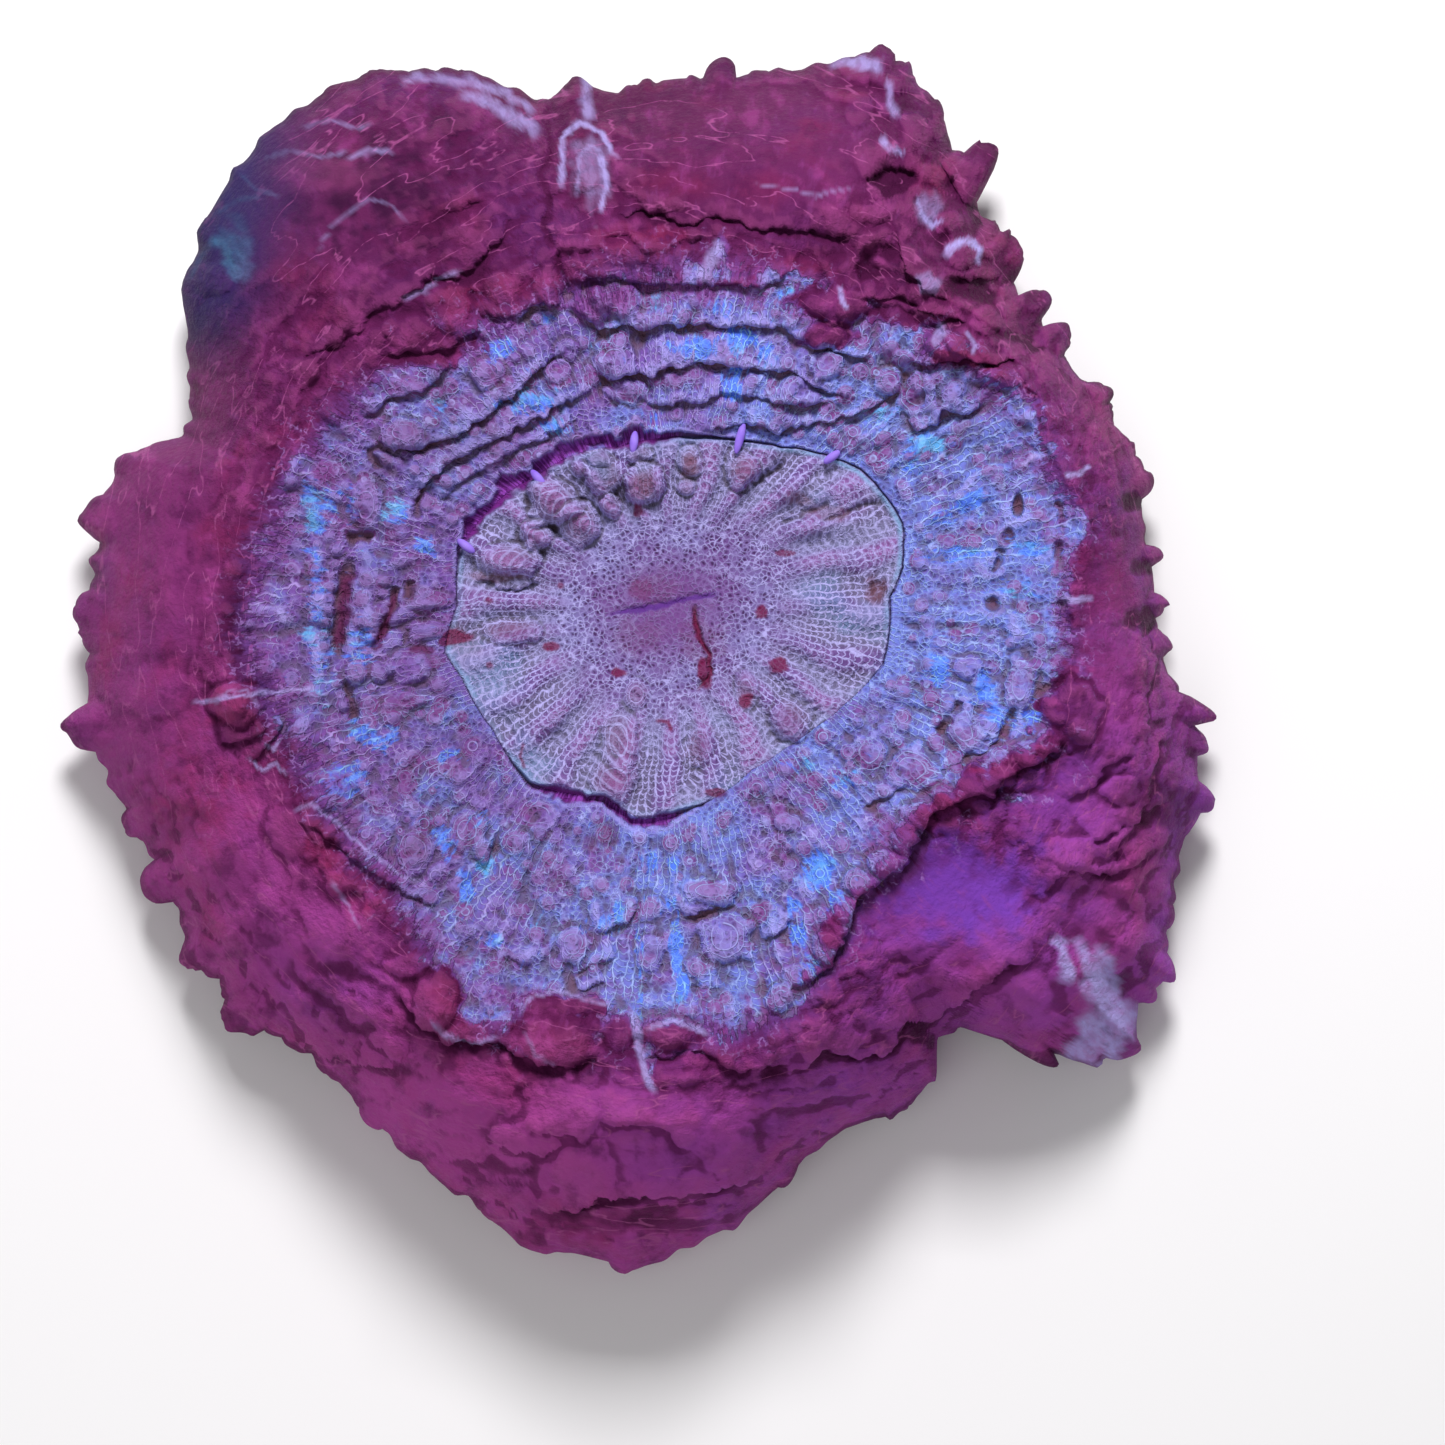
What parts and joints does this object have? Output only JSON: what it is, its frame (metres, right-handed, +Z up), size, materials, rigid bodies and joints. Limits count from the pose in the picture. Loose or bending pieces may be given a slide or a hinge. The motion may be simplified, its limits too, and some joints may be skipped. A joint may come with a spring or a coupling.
{
  "type": "acanthophyllia coral",
  "caption": "Large single fleshy coral polyp: sunken ribbed oral disc in a folded ring, wide lobed mantle, flat-cut stony base to rest on",
  "frame": {"origin": "middle of the flat cut under the stony base", "axes": "+Z up through the mouth's side, X along the mouth's slit, -Y towards the pointed lobe of the mantle"},
  "size_m": [0.1513, 0.1675, 0.0377],
  "materials": {
    "flesh": "moist, matt, finely wrinkled magenta flesh with a net of pale violet lines over its middle"
  },
  "bodies": {
    "root": {"coral": "flesh"}
  },
  "joints": []
}
